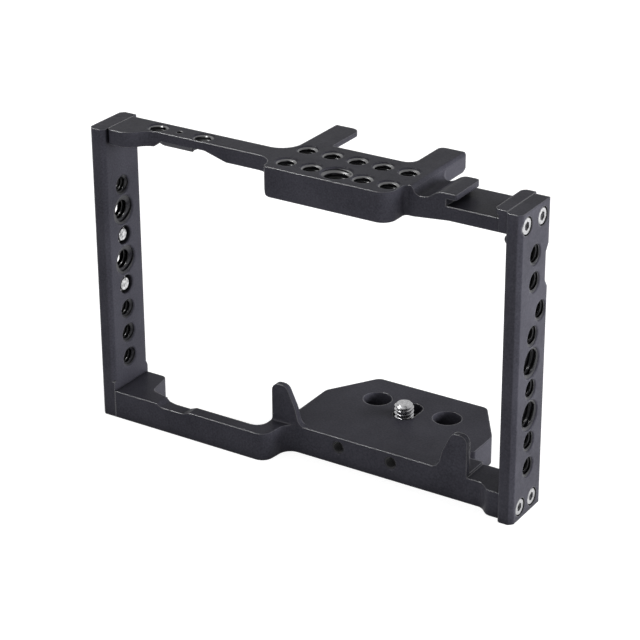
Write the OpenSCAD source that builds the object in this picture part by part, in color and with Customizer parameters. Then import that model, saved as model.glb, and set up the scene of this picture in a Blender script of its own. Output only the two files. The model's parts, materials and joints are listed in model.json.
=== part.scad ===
// Camera cage for a mirrorless camera body.
// Two upright side plates, a top bar and a bottom plate are held together by socket cap screws.
// The camera stands on the bottom plate and is held by one screw that slides in a slot.
// Lengths are millimetres, +X runs to the cage's right, +Y to its rear, +Z up.
// The outlines below are given from the left plate's front, and each node is then centred in depth.

/* [Cage] */
// Width over the two side plates
cage_w = 150.6; // [147:0.1:157]
// Height of the side plates
cage_h = 101.2; // [98:0.1:108]
// Depth from the left plate's front to the rear of the base plate
cage_d = 54.2; // [52.5:0.1:60]

/* [Side plates] */
// Thickness of the left plate
left_t = 5.7; // [5.4:0.1:6.5]
// Depth of the left plate
left_d = 17.6; // [16.5:0.1:20]
// Thickness of the right plate
right_t = 5.3; // [4.8:0.1:6]
// Depth of the right plate
right_d = 17.9; // [17.2:0.1:20]
// How far the right plate stands behind the left plate's front
right_setback = 5.9; // [5.2:0.1:6.4]
// Chamfer on the upright edges
edge_chamfer = 1.3; // [0.8:0.1:1.6]
// Distance between the plates' threaded holes
hole_pitch = 8.75; // [8.5:0.05:9]
// Least height of a plate's lowest threaded hole
lowest_hole = 12; // [10:0.5:14]

/* [Threads] */
// Major diameter of the small camera thread, 1/4 inch
small_thread_d = 6.35; // [6.2:0.05:6.5]
// Major diameter of the large camera thread, 3/8 inch
large_thread_d = 9.525; // [9.3:0.025:9.6]
// Width of the countersink round a small thread
small_sink = 0.35; // [0.2:0.05:0.5]
// Width of the countersink round a large thread
large_sink = 0.45; // [0.2:0.05:0.6]
// Diameter of the two threaded holes in the bottom plate's front
front_thread_d = 4; // [3:0.5:5]
// Diameter of the locating pin hole in the thin bar
pin_hole_d = 2; // [1.5:0.1:2.5]

/* [Cap screws] */
// Thread diameter of the cap screws
cap_thread_d = 3; // [2.6:0.1:3.2]
// Head diameter of the cap screws
cap_head_d = 5.5; // [5:0.1:5.6]
// Head height of the cap screws
cap_head_h = 2.6; // [2.2:0.1:3]
// Length of thread under the head
cap_length = 5; // [4.5:0.1:5.2]
// Hexagon socket across flats
cap_socket = 2.5; // [2:0.1:3]
// Gap round a cap screw's head in its counterbore
cap_head_gap = 0.2; // [0.1:0.05:0.3]
// How deep the heads lie below the plate's face
cap_recess = 0.2; // [0.1:0.05:0.3]

/* [Top bar] */
// Thickness of the thin bar
bar_t = 5; // [4.5:0.1:5.5]
// Front of the thin bar
bar_front = 7.8; // [7.4:0.1:8.2]
// Back of the thin bar
bar_back = 15.6; // [15.2:0.1:16]
// Height of the hole block
block_h = 9.7; // [9.2:0.1:10.4]
// Front of the hole block
block_front = 0.6; // [0.5:0.1:1.2]
// Back of the hole block
block_back = 26.1; // [25.6:0.1:27]
// Rear end of the two prongs
prong_end = 43; // [40:0.5:46]
// Thickness of the thin left prong
thin_prong_t = 1.5; // [1.2:0.1:3]
// Thickness of the thick right prong
thick_prong_t = 5.8; // [5:0.1:7]
// Distance between the block's hole columns
grid_dx = 9; // [8.6:0.1:9.2]
// Distance between the block's hole rows
grid_dy = 12; // [11.5:0.1:12.5]

/* [Cold shoe] */
// Width of the shoe's slot
shoe_slot_w = 18.6; // [18.5:0.05:18.8]
// Width of the left lip over the slot
left_lip_w = 3.4; // [2.6:0.1:3.6]
// Width of the right lip over the slot
right_lip_w = 1.2; // [0.9:0.1:2.5]
// Height of the slot under the lips
shoe_slot_h = 2.3; // [2:0.1:2.5]
// Thickness of the lips
shoe_lip_t = 1.8; // [1.5:0.1:2.2]
// Thickness of the shoe's floor
shoe_floor_t = 4.4; // [4:0.1:5]
// Front of the shoe's arm
shoe_front = 10.3; // [10:0.1:10.8]

/* [Bottom plate] */
// Thickness of the base plate and of the left bar
base_t = 9.5; // [9:0.1:10.5]
// Front of the base plate
base_front = 11.1; // [10.6:0.1:11.6]
// Depth of the left bar
base_bar_d = 4.5; // [4.2:0.1:5.5]
// Step down to the floor at the right end
base_step = 0.8; // [0.4:0.1:1.2]
// Height of the two fingers' tips above the underside
finger_h = 22.6; // [20:0.1:25]
// Thickness of the fingers
finger_t = 2.1; // [1.8:0.1:2.6]
// Diameter of the two plain holes in the base plate
plain_hole_d = 9.5; // [8:0.1:10]

/* [Camera screw] */
// Thread diameter of the camera screw
screw_d = 6.3; // [6:0.05:6.35]
// Diameter of the relieved neck under the thread
screw_neck_d = 4.9; // [4.5:0.1:5.4]
// Height of the thread above the base plate
screw_stand = 4.2; // [3.5:0.1:5.5]
// Diameter of the screw's head
screw_head_d = 11.6; // [10:0.1:12]
// Height of the screw's head
screw_head_h = 3.2; // [2.8:0.1:3.6]
// Width of the slot for the screw
slot_w = 7.3; // [7:0.1:8]
// Travel of the screw along the slot
slot_travel = 5; // [3:0.5:6]
// Diameter of the washer under the ledge
washer_d = 12.4; // [11:0.1:12.8]
// Thickness of the washer
washer_t = 0.8; // [0.6:0.1:1]

/* [Hidden] */
black = [0.2, 0.2, 0.22];
steel = [0.78, 0.78, 0.8];
cut_over = 1;
fine = 64;
arc_steps = 8;

// Inner faces of the two side plates
left_in = -cage_w / 2 + left_t;
right_in = cage_w / 2 - right_t;

// Left plate: the first hole's distance from the top, and the rows that differ
left_top_drop = 21.4;
left_rows = floor((cage_h - left_top_drop - lowest_hole) / hole_pitch);
left_hole_y = 9;
left_large_rows = [1, 3];
set_screw_rows = [2, 4];
foot_h = 12.6;
foot_extra = 0.8;

// Right plate: distances from its own front, and from the top
right_top_drop = 15.4;
right_rows = floor((cage_h - right_top_drop - lowest_hole) / hole_pitch);
right_hole_in = 9.7;
right_hole_y = right_setback + right_hole_in;
right_large_rows = [4, 6];
odd_row = 2;
odd_hole_back = 4.6;
odd_hole_down = 2;
notch_drop = 14.4;
notch_h = 13.9;
notch_ramp = 2.4;
notch_d = 1.5;
notch_high = cage_h - notch_drop;
notch_low = notch_high - notch_h;
nub_drop = 8.7;
nub_z = cage_h - nub_drop;
nub_r = 1.7;
nub_stand = 0.75;
right_round = 1.4;

// Cap screws
running_gap = 0.03;
cap_bore_h = cap_head_h + cap_recess;
cap_socket_d = 1.4;
cap_edge = 0.3;
cap_hole_gap = 0.2;
cap_tip = 0.3;

// Cap screws in the left plate, from its front and from the top
left_top_front_in = 5.2;
left_top_rear_in = 12.2;
left_bottom_front_in = 4.4;
left_bottom_rear_in = 12.8;
left_screw_drop = 3.3;

// Cap screws in the right plate, from its front, the top and the bottom
right_top_front_in = 4;
right_top_rear_in = 13.7;
right_front_screw_drop = 4.4;
right_rear_screw_drop = 4.6;
right_bottom_front_in = 5.5;
right_bottom_rear_in = 13.2;
right_screw_z = 4;

// The y and z of each cap screw, named after its corner of the cage
left_top_front = [left_top_front_in, cage_h - left_screw_drop];
left_top_rear = [left_top_rear_in, cage_h - left_screw_drop];
left_bottom_front = [left_bottom_front_in, base_t / 2];
left_bottom_rear = [left_bottom_rear_in, base_t / 2];
right_top_front = [right_setback + right_top_front_in, cage_h - right_front_screw_drop];
right_top_rear = [right_setback + right_top_rear_in, cage_h - right_rear_screw_drop];
right_bottom_front = [right_setback + right_bottom_front_in, right_screw_z];
right_bottom_rear = [right_setback + right_bottom_rear_in, right_screw_z];

// Set screws in the left plate
set_gap = 0.8;
set_dog_d = 4.1;
set_dog_h = 1;
set_body_h = 2.6;
set_socket = 3.2;
set_socket_d = 1.5;
set_edge = 0.4;

// Pad at the top bar's left end, then its ramp back to the thin bar
pad_front = 1.7;
pad_w = 8;
pad_ramp = 4.4;
pad_corner = 2;
pad_curve = 7;
pad_right = left_in + pad_w;
pad_turn = pad_right + pad_ramp;

// Hole block, from the middle of its grid of holes
block_from_right = 57.46;
block_x = right_in - block_from_right;
block_left_w = 22.3;
block_right_w = 21.9;
block_left = block_x - block_left_w;
block_right = block_x + block_right_w;
block_corner = 4.5;
block_chamfer = 0.9;
arm_root = 1.4;
arm_fade = 12;
block_low_corner = 2.5;
block_hole_y = 7.4;
grid_columns = 5;
bar_blend = 6.2;
bar_rear_blend = 7;
small_corner = 0.5;

// Prongs, from the middle of the block's grid of holes
thin_prong_w = 9;
thin_prong_corner = 3;
thin_prong_root = 0.9;
thick_prong_out = 24.7;
thick_prong_right = block_x + thick_prong_out;
thick_prong_w = 9.3;
thick_prong_corner = 2;
thick_prong_root = 3.6;
thick_prong_low_corner = 3;
prong_chamfer = 0.9;

// Holes of the thin bar, from the left plate's inner face
bar_hole_y = 11.5;
bar_hole_near = 13.4;
bar_hole_far = 30.6;
pin_hole_along = 21.4;
bar_hole_xs = [left_in + bar_hole_near, left_in + bar_hole_far];
pin_hole_x = left_in + pin_hole_along;

// Relief under the thin bar's front edge: its first part is shallow, the rest runs further back
relief_h = 2.3;
relief_first_d = 2.1;
relief_rest_d = 5;
relief_along = 14.2;
relief_ramp = 3;
relief_first_w = 13.6;
relief_flat_w = 16.2;
relief_fade = 8;
relief_start = left_in + relief_along;
relief_flat = relief_start + relief_ramp;
relief_flat_end = relief_flat + relief_flat_w;
relief_end = relief_flat_end + relief_fade;

// Cold shoe, from the right plate's inner face
shoe_inset = 3.2;
shoe_right = right_in - shoe_inset;
shoe_left = shoe_right - shoe_slot_w;
shoe_lip_z = cage_h - shoe_lip_t;
shoe_floor_z = shoe_lip_z - shoe_slot_h;
shoe_base_z = shoe_floor_z - shoe_floor_t;
shoe_back = 27.9;
lip_back = 25.3;
end_lip_front = right_setback + right_round;
end_lip_corner = 2;
end_flare_w = 3;
end_pad_drop = 7;
end_pad_z = cage_h - end_pad_drop;
end_flare_x = right_in - end_flare_w;
end_flare_r = 1.2;
floor_corner = 2.6;
left_lip_corner = 1.5;

// Scooped finger rest beside the thick prong: its low floor, its slope and its crest
scoop_fillet = 5;
scoop_depth = 2.8;
scoop_wall = 1;
scoop_floor_start = 0.7;
scoop_floor_end = 4.5;
scoop_crest = 8.5;
scoop_r = 2.4;
crest_r = 6;

// Base plate, from its middle
base_from_right = 49.6;
base_x = right_in - base_from_right;
base_half_w = 31.1;
base_left = base_x - base_half_w;
base_right = base_x + base_half_w;
rear_slope_d = 16.6;
rear_corner_w = 10.7;
rear_corner_r = 3;
side_corner_r = 4;

// Left bar: its lug behind the left plate, its end before the base plate and the waist behind that
bar_end_out = 30.5;
base_bar_end = base_x - bar_end_out;
base_blend = 4.4;
base_nose = 4;
lug_w = 8.6;
lug_foot = 10.4;
lug_foot_y = 7.3;
lug_toe = 21.6;
lug_corner = 2.4;
lug_blend = 5;
waist_out = 34.9;
waist_x = base_x - waist_out;
waist_blend = 4;

// Right arm, from the right plate's front and inner face
arm_front_in = 2.1;
arm_front = right_setback + arm_front_in;
arm_d = 13.7;
arm_back = arm_front + arm_d;
arm_turn_start = 7.8;
arm_turn_end = 4.6;
arm_nose = 3.4;
arm_step = 1.3;
arm_step_out = 3.3;

// Channel across the left bar's top, from the left plate's inner face
channel_along = 17;
channel_ramp = 1.7;
channel_w = 8.8;
channel_fade = 2.5;
channel_d = 1;
channel_start = left_in + channel_along;
channel_flat = channel_start + channel_ramp;
channel_flat_end = channel_flat + channel_w;
channel_end = channel_flat_end + channel_fade;

// Fingers, mirrored about their middle
finger_shift = 0.7;
finger_x = base_x + finger_shift;
finger_reach = 35.6;
finger_w = 5.4;
finger_top_r = 2.6;
finger_slope_w = 3.3;
finger_knee = finger_reach - finger_w - finger_slope_w;
finger_foot_w = 1.5;
finger_toe = finger_knee - finger_foot_w;
finger_knee_h = 6;
finger_toe_r = 3;
finger_knee_r = 9;
finger_fillet = 0.9;

// Low floor at the right end, from the right finger's outer side
low_floor_gap = 0.1;
low_floor_x = finger_x + finger_reach + low_floor_gap;

// Holes of the base plate, to the left and right of its middle
front_hole_left = 10.1;
front_hole_right = 9.2;
front_hole_z = 6;
front_hole_depth = 9;
front_hole_xs = [base_x - front_hole_left, base_x + front_hole_right];
plain_hole_left = 13.3;
plain_hole_right = 12.8;
plain_hole_to_rear = 13.1;
plain_hole_y = cage_d - plain_hole_to_rear;
plain_hole_xs = [base_x - plain_hole_left, base_x + plain_hole_right];

// Camera screw and its slot
slot_shift = 0.35;
slot_x = base_x - slot_shift;
slot_to_rear = 18.1;
slot_y = cage_d - slot_to_rear;
ledge_t = 4.1;
ledge_z = base_t - ledge_t;
washer_gap = 0.5;
head_slot_w = washer_d + 2 * washer_gap;
seat_gap = 0.05;
screw_tip = 0.6;
thread_rise = 0.1;
thread_low = base_t + thread_rise;
coin_slot_w = 1.6;
coin_slot_d = 1.4;
head_edge = 0.5;

// A unit step from point a towards point b
function step_to(a, b) = (b - a) / norm(b - a);

// The points of one rounded corner. A corner is [x, y, radius], and a radius of 0 keeps it sharp.
function corner(before, at, after) =
    let (
        p = [at[0], at[1]],
        u = step_to(p, [before[0], before[1]]),
        w = step_to(p, [after[0], after[1]]),
        half = acos(u * w) / 2,
        reach = at[2] / tan(half),
        middle = p + step_to([0, 0], u + w) * at[2] / sin(half),
        start = p + u * reach - middle,
        end = p + w * reach - middle,
        sweep = atan2(start[0] * end[1] - start[1] * end[0], start * end)
    )
    at[2] == 0 ? [p] : [
        for (i = [0:arc_steps])
            let (turn = sweep * i / arc_steps)
                middle + [
                    start[0] * cos(turn) - start[1] * sin(turn),
                    start[0] * sin(turn) + start[1] * cos(turn)
                ]
    ];

// A closed outline with its corners rounded
function rounded(corners) =
    let (n = len(corners))
    [
        for (i = [0:n - 1])
            each corner(corners[(i + n - 1) % n], corners[i], corners[(i + 1) % n])
    ];

module outline(corners) {
    polygon(rounded(corners));
}

// Puts a node in the part's frame, centred in depth
module placed() {
    translate([0, -cage_d / 2, 0]) children();
}

// A prism whose front view is the 2-D child, from y = front to y = back
module front_view(front, back) {
    translate([0, back, 0]) rotate([90, 0, 0]) linear_extrude(height = back - front) children();
}

// A prism whose side view is the 2-D child in y and z, from x = start to x = end
module side_view(start, end) {
    translate([start, 0, 0]) rotate([90, 0, 90]) linear_extrude(height = end - start) children();
}

// A hole along +Z through a wall, with a countersink at each mouth
module tapped_hole(d, sink, wall) {
    translate([0, 0, -cut_over]) cylinder(d = d, h = wall + 2 * cut_over, $fn = fine);
    hole_mouth(d, sink);
    translate([0, 0, wall]) mirror([0, 0, 1]) hole_mouth(d, sink);
}

module hole_mouth(d, sink) {
    translate([0, 0, -cut_over])
        cylinder(d1 = d + 2 * (sink + cut_over), d2 = d, h = sink + cut_over, $fn = fine);
}

module small_hole(wall) {
    tapped_hole(small_thread_d, small_sink, wall);
}

module large_hole(wall) {
    tapped_hole(large_thread_d, large_sink, wall);
}

// Turns a child that points along +Z so that it points along +X, and sets it at [y, z]
module along_x(x, yz) {
    translate([x, yz[0], yz[1]]) rotate([0, 90, 0]) children();
}

// The counterbore and clearance hole of one cap screw, cut from the outer face inwards along +Z
module cap_seat(wall) {
    translate([0, 0, -cut_over])
        cylinder(d = cap_head_d + 2 * cap_head_gap, h = cap_bore_h + cut_over, $fn = fine);
    cylinder(d = cap_thread_d + 2 * cap_hole_gap, h = wall + cut_over, $fn = fine);
}

// The threaded hole that a cap screw goes into, from the plate's inner face along +Z
module cap_thread_hole(wall) {
    depth = cap_bore_h + cap_length - wall + cap_tip;
    translate([0, 0, -cut_over])
        cylinder(d = cap_thread_d + 2 * running_gap, h = depth + cut_over, $fn = fine);
}

// One socket cap screw, its head's face at the origin, pointing along +Z into the plate
module cap_screw() {
    color(steel) difference() {
        union() {
            translate([0, 0, cap_recess]) {
                cylinder(d1 = cap_head_d - 2 * cap_edge, d2 = cap_head_d, h = cap_edge, $fn = fine);
                translate([0, 0, cap_edge])
                    cylinder(d = cap_head_d, h = cap_head_h - cap_edge, $fn = fine);
            }
            cylinder_from(cap_bore_h, cap_thread_d, cap_length - cap_tip);
            translate([0, 0, cap_bore_h + cap_length - cap_tip])
                cylinder(d1 = cap_thread_d, d2 = cap_thread_d - 2 * cap_tip, h = cap_tip, $fn = fine);
        }
        cylinder(r = cap_socket / sqrt(3), h = cap_recess + cap_socket_d, $fn = 6);
    }
}

module cylinder_from(z, d, h) {
    translate([0, 0, z]) cylinder(d = d, h = h, $fn = fine);
}

module right_cap_screw(yz) {
    placed() along_x(cage_w / 2, yz) mirror([0, 0, 1]) cap_screw();
}

module left_cap_screw(yz) {
    placed() along_x(-cage_w / 2, yz) cap_screw();
}

// Cuts the chamfer of an upright edge that faces the front and +X. Its lower end can be round.
module edge_cut(h, end_r = 0) {
    reach = edge_chamfer / sqrt(2);
    rotate([0, 0, 45]) translate([0, reach, 0]) rotate([90, 0, 0]) linear_extrude(height = 2 * reach) {
        translate([-reach - cut_over, 0]) square([2 * (reach + cut_over), h]);
        if (end_r > 0) circle(r = end_r, $fn = fine);
    }
}

// Left plate: its upright edges are chamfered, at the inner front and outer rear above the foot only.
// The foot is a little deeper.
module left_side_plate() {
    top_z = cage_h - left_top_drop;
    placed() color(black) difference() {
        union() {
            translate([-cage_w / 2, 0, 0]) cube([left_t, left_d, cage_h]);
            side_view(-cage_w / 2, left_in) outline([
                [0, 0, 0], [left_d + foot_extra, 0, 0],
                [left_d + foot_extra, foot_h - foot_extra, edge_chamfer],
                [left_d, foot_h + foot_extra, 0], [0, foot_h + foot_extra, 0]
            ]);
        }
        translate([left_in, 0, foot_h + edge_chamfer]) edge_cut(cage_h, edge_chamfer);
        translate([-cage_w / 2, 0, -cut_over]) mirror([1, 0, 0]) edge_cut(cage_h + 2 * cut_over);
        translate([-cage_w / 2, left_d, foot_h + foot_extra + 2 * edge_chamfer])
            edge_cut(cage_h, edge_chamfer);
        for (i = [0:left_rows])
            along_x(-cage_w / 2, [left_hole_y, top_z - i * hole_pitch])
                if (len(search(i, left_large_rows)) > 0) large_hole(left_t);
                else small_hole(left_t);
        for (yz = [left_top_front, left_top_rear, left_bottom_front, left_bottom_rear])
            along_x(-cage_w / 2, yz) cap_seat(left_t);
    }
}

// Right plate: it stands further back, with a shallow notch in its rear edge
module right_side_plate() {
    front = right_setback;
    back = right_setback + right_d;
    top_z = cage_h - right_top_drop;
    placed() color(black) difference() {
        union() {
            linear_extrude(height = cage_h) outline([
                [right_in, front, right_round], [cage_w / 2, front, 0],
                [cage_w / 2, back, 0], [right_in, back, 0]
            ]);
            intersection() {
                translate([right_in + nub_r - nub_stand, front + right_round, nub_z])
                    rotate([-90, 0, 0]) cylinder(r = nub_r, h = right_d / 2, $fn = fine);
                translate([right_in - nub_r, front, nub_z - nub_r])
                    cube([2 * nub_r, right_round + 2 * nub_r, 2 * nub_r]);
            }
        }
        translate([cage_w / 2, front, -cut_over]) edge_cut(cage_h + 2 * cut_over);
        side_view(right_in - cut_over, cage_w / 2 + cut_over) polygon([
            [back + cut_over, notch_low - cut_over * notch_ramp / notch_d],
            [back - notch_d, notch_low + notch_ramp],
            [back - notch_d, notch_high - notch_ramp],
            [back + cut_over, notch_high + cut_over * notch_ramp / notch_d]
        ]);
        for (i = [0:right_rows])
            along_x(right_in, [
                right_hole_y + (i == odd_row ? odd_hole_back : 0),
                top_z - i * hole_pitch - (i == odd_row ? odd_hole_down : 0)
            ])
                if (len(search(i, right_large_rows)) > 0) large_hole(right_t);
                else small_hole(right_t);
        for (yz = [right_top_front, right_top_rear, right_bottom_front, right_bottom_rear])
            along_x(cage_w / 2, yz) mirror([0, 0, 1]) cap_seat(right_t);
    }
}

// The thin bar and the wider pad where it meets the left plate
module left_bar() {
    translate([0, 0, cage_h - bar_t]) linear_extrude(height = bar_t) outline([
        [left_in, pad_front, pad_corner],
        [pad_right, pad_front, pad_curve],
        [pad_turn, bar_front, pad_curve],
        [block_left, bar_front, bar_blend],
        [block_left, block_front + block_chamfer, 0],
        [block_left + block_low_corner, block_front + block_chamfer, 0],
        [block_left + block_low_corner, block_back - block_chamfer, 0],
        [block_left, block_back - block_chamfer, 0],
        [block_left, bar_back, bar_rear_blend],
        [left_in, bar_back, 0]
    ]);
}

// The thick block that carries the grid of threaded holes
module hole_block() {
    difference() {
        translate([0, 0, cage_h - block_h]) linear_extrude(height = block_h) outline([
            [block_left, block_front + block_chamfer, 0],
            [block_left + block_chamfer, block_front, 0],
            [block_right, block_front, block_corner],
            [block_right, shoe_front, arm_root],
            [thick_prong_right, shoe_front, 0],
            [thick_prong_right, block_back, 0],
            [block_left, block_back, 0]
        ]);
        front_view(block_front - cut_over, block_back + cut_over) difference() {
            translate([block_left - cut_over, cage_h - block_h - cut_over])
                square([block_low_corner + cut_over, block_low_corner + cut_over]);
            translate([block_left + block_low_corner, cage_h - block_h + block_low_corner])
                circle(r = block_low_corner, $fn = fine);
        }
    }
}

module thin_prong() {
    right = block_left + thin_prong_w;
    translate([0, 0, cage_h - thin_prong_t]) linear_extrude(height = thin_prong_t) outline([
        [block_left, block_back - cut_over, 0],
        [right + 2 * thin_prong_root, block_back - cut_over, 0],
        [right + 2 * thin_prong_root, block_back, 0],
        [right, block_back, thin_prong_root],
        [right, prong_end, thin_prong_corner],
        [block_left, prong_end, small_corner]
    ]);
}

module thick_prong() {
    left = thick_prong_right - thick_prong_w;
    difference() {
        translate([0, 0, cage_h - thick_prong_t]) linear_extrude(height = thick_prong_t) outline([
            [left - 2 * thick_prong_root, block_back - cut_over, 0],
            [thick_prong_right, block_back - cut_over, 0],
            [thick_prong_right, prong_end, thick_prong_corner / 2],
            [left, prong_end, thick_prong_corner],
            [left, block_back, thick_prong_root],
            [left - 2 * thick_prong_root, block_back, 0]
        ]);
        side_view(left - 2 * thick_prong_root - cut_over, thick_prong_right + cut_over) difference() {
            translate([prong_end - thick_prong_low_corner, cage_h - thick_prong_t - cut_over])
                square([thick_prong_low_corner + cut_over, thick_prong_low_corner + cut_over]);
            translate([prong_end - thick_prong_low_corner, cage_h - thick_prong_t + thick_prong_low_corner])
                circle(r = thick_prong_low_corner, $fn = fine);
        }
    }
}

// The arm's floor, from the block to the right plate. It is thicker towards the block.
module shoe_floor() {
    translate([0, 0, shoe_base_z]) linear_extrude(height = shoe_floor_t) outline([
        [block_right - block_corner, shoe_front, 0],
        [right_in, shoe_front, 0],
        [right_in, shoe_back, floor_corner],
        [shoe_left, shoe_back, 0],
        [shoe_left, lip_back, 0],
        [thick_prong_right, lip_back, scoop_fillet],
        [thick_prong_right, lip_back + scoop_fillet + small_corner, 0],
        [thick_prong_right - small_corner, block_back - small_corner, 0],
        [block_right - block_corner, block_back - small_corner, 0]
    ]);
    front_view(shoe_front, lip_back) polygon([
        [thick_prong_right - small_corner, cage_h - block_h],
        [thick_prong_right, cage_h - block_h],
        [thick_prong_right + arm_fade, shoe_base_z],
        [thick_prong_right + arm_fade, shoe_base_z + small_corner],
        [thick_prong_right - small_corner, shoe_base_z + small_corner]
    ]);
}

// The left lip, with the scooped finger rest between it and the block
module scooped_lip() {
    lip_end = shoe_left + left_lip_w;
    intersection() {
        translate([0, 0, shoe_floor_z - cut_over])
            linear_extrude(height = cage_h - shoe_floor_z + cut_over) outline([
                [thick_prong_right - small_corner, shoe_front, 0],
                [lip_end, shoe_front, small_corner],
                [lip_end, lip_back, left_lip_corner],
                [thick_prong_right, lip_back, scoop_fillet],
                [thick_prong_right, lip_back + scoop_fillet + small_corner, 0],
                [thick_prong_right - small_corner, block_back - small_corner, 0]
            ]);
        front_view(shoe_front - cut_over, prong_end) outline([
            [thick_prong_right - small_corner, shoe_floor_z - cut_over, 0],
            [shoe_left, shoe_floor_z - cut_over, 0],
            [shoe_left, shoe_lip_z, 0],
            [lip_end, shoe_lip_z, 0],
            [lip_end, cage_h, 0],
            [thick_prong_right + scoop_crest, cage_h, crest_r],
            [thick_prong_right + scoop_floor_end, cage_h - scoop_depth, crest_r],
            [thick_prong_right + scoop_floor_start, cage_h - scoop_depth, scoop_r],
            [thick_prong_right, cage_h - scoop_wall, 0],
            [thick_prong_right - small_corner, cage_h - scoop_wall, 0]
        ]);
    }
}

// The right end: a post against the plate, with the shoe's right lip on top
module shoe_end() {
    lip_start = shoe_right - right_lip_w;
    translate([0, 0, end_pad_z]) linear_extrude(height = end_pad_drop) outline([
        [shoe_right, shoe_front, 0],
        [end_flare_x, shoe_front, end_flare_r],
        [end_flare_x, end_lip_front, small_corner],
        [right_in, end_lip_front, 0],
        [right_in, lip_back, 0],
        [shoe_right, lip_back, 0]
    ]);
    translate([0, 0, shoe_lip_z]) linear_extrude(height = shoe_lip_t) outline([
        [lip_start, end_lip_front, end_lip_corner],
        [right_in, end_lip_front, 0],
        [right_in, lip_back, 0],
        [lip_start, lip_back, end_lip_corner]
    ]);
}

// The threaded holes of the block, the large one in the middle of the front row
module block_holes() {
    for (i = [0:grid_columns - 1], j = [0, 1]) {
        from_middle = i - (grid_columns - 1) / 2;
        translate([block_x + from_middle * grid_dx, block_hole_y + j * grid_dy, cage_h - block_h])
            if (from_middle == 0 && j == 0) large_hole(block_h);
            else small_hole(block_h);
    }
}

// Sloped reliefs along the bar's lower front edge, running further back on the right
module bar_reliefs() {
    low = cage_h - bar_t;
    intersection() {
        front_view(bar_front - cut_over, bar_back) polygon([
            [relief_start, low], [relief_flat, low + relief_h],
            [relief_flat_end, low + relief_h], [relief_end, low],
            [relief_end, low - cut_over], [relief_start, low - cut_over]
        ]);
        union() {
            relief_slope(relief_start, relief_start + relief_first_w, relief_first_d);
            relief_slope(relief_start + relief_first_w, relief_end, relief_rest_d);
        }
    }
}

module relief_slope(start, end, depth) {
    low = cage_h - bar_t;
    side_view(start, end) polygon([
        [bar_front - cut_over, low - cut_over],
        [bar_front + depth + cut_over * depth / relief_h, low - cut_over],
        [bar_front, low + relief_h], [bar_front - cut_over, low + relief_h]
    ]);
}

// The chamfer along the thick prong and block on the scoop's side
module scoop_side_chamfer() {
    reach = prong_chamfer / sqrt(2);
    translate([thick_prong_right, shoe_front, cage_h]) rotate([0, 45, 0])
        translate([-reach - cut_over, 0, -reach])
            cube([2 * (reach + cut_over), prong_end - shoe_front + cut_over, 2 * reach]);
}

// Top bar: one machined piece with the pad, thin bar, hole block, prongs, scoop and cold shoe
module top_bar() {
    placed() color(black) difference() {
        union() {
            left_bar();
            hole_block();
            thin_prong();
            thick_prong();
            shoe_floor();
            scooped_lip();
            shoe_end();
        }
        scoop_side_chamfer();
        block_holes();
        bar_reliefs();
        for (x = bar_hole_xs)
            translate([x, bar_hole_y, cage_h - bar_t]) small_hole(bar_t);
        translate([pin_hole_x, bar_hole_y, cage_h - bar_t - cut_over])
            cylinder(d = pin_hole_d, h = bar_t + 2 * cut_over, $fn = fine);
        for (yz = [left_top_front, left_top_rear])
            along_x(left_in, yz) cap_thread_hole(left_t);
        for (yz = [right_top_front, right_top_rear])
            along_x(right_in, yz) mirror([0, 0, 1]) cap_thread_hole(right_t);
    }
}

// One finger in front view. It is drawn for the left side and mirrored for the right.
module finger_shape() {
    outline([
        [-finger_reach, base_t - base_step - cut_over, 0],
        [-finger_reach, finger_h, finger_top_r],
        [-finger_reach + finger_w, finger_h, finger_top_r],
        [-finger_knee, base_t + finger_knee_h, finger_knee_r],
        [-finger_toe, base_t, finger_toe_r],
        [-finger_toe + 2 * finger_fillet, base_t, 0],
        [-finger_toe + 2 * finger_fillet, base_t - base_step - cut_over, 0]
    ]);
}

module fingers() {
    for (side = [0, 1])
        translate([finger_x, 0, 0]) mirror([side, 0, 0])
            front_view(base_front, base_front + finger_t) finger_shape();
}

// The hollow fillet at the left finger's foot, where the left bar's top runs in front of it
module finger_foot() {
    intersection() {
        side_view(finger_x - finger_reach, base_bar_end + base_blend) difference() {
            translate([base_front - finger_fillet, base_t - cut_over])
                square([finger_fillet + cut_over, finger_fillet + cut_over]);
            translate([base_front - finger_fillet, base_t + finger_fillet])
                circle(r = finger_fillet, $fn = fine);
        }
        linear_extrude(height = base_t + finger_fillet + cut_over) base_outline();
    }
}

// The bottom plate in plan
module base_outline() {
    outline([
        [left_in, 0, 0],
        [base_bar_end, 0, base_nose],
        [base_bar_end + edge_chamfer, base_front, base_blend],
        [right_in - arm_turn_start, base_front, arm_nose],
        [right_in - arm_turn_end, arm_front, arm_nose],
        [right_in, arm_front, 0],
        [right_in, arm_back, 0],
        [base_right - arm_step, arm_back, arm_step],
        [base_right - arm_step, arm_back + arm_step_out, 0],
        [base_right, arm_back + arm_step_out + arm_step, 0],
        [base_right, cage_d - rear_slope_d, side_corner_r],
        [base_right - rear_corner_w, cage_d, rear_corner_r],
        [base_left + rear_corner_w, cage_d, rear_corner_r],
        [base_left, cage_d - rear_slope_d, side_corner_r],
        [base_left, arm_back, 0],
        [waist_x, base_front + finger_t, waist_blend],
        [waist_x, base_bar_d, waist_blend],
        [left_in + lug_toe, base_bar_d, lug_blend],
        [left_in + lug_foot, lug_foot_y, lug_corner],
        [left_in + lug_w, left_d, lug_corner],
        [left_in, left_d, 0]
    ]);
}

// The slot for the camera screw, wider below the ledge for its head and washer
module screw_slot() {
    translate([slot_x, slot_y, 0]) {
        long_hole(slot_w, -cut_over, base_t + cut_over);
        long_hole(head_slot_w, -cut_over, ledge_z);
    }
}

module long_hole(w, low, high) {
    translate([0, 0, low]) cylinder(d = w, h = high - low, $fn = fine);
    translate([0, slot_travel, low]) cylinder(d = w, h = high - low, $fn = fine);
    translate([-w / 2, 0, low]) cube([w, slot_travel, high - low]);
}

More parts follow.
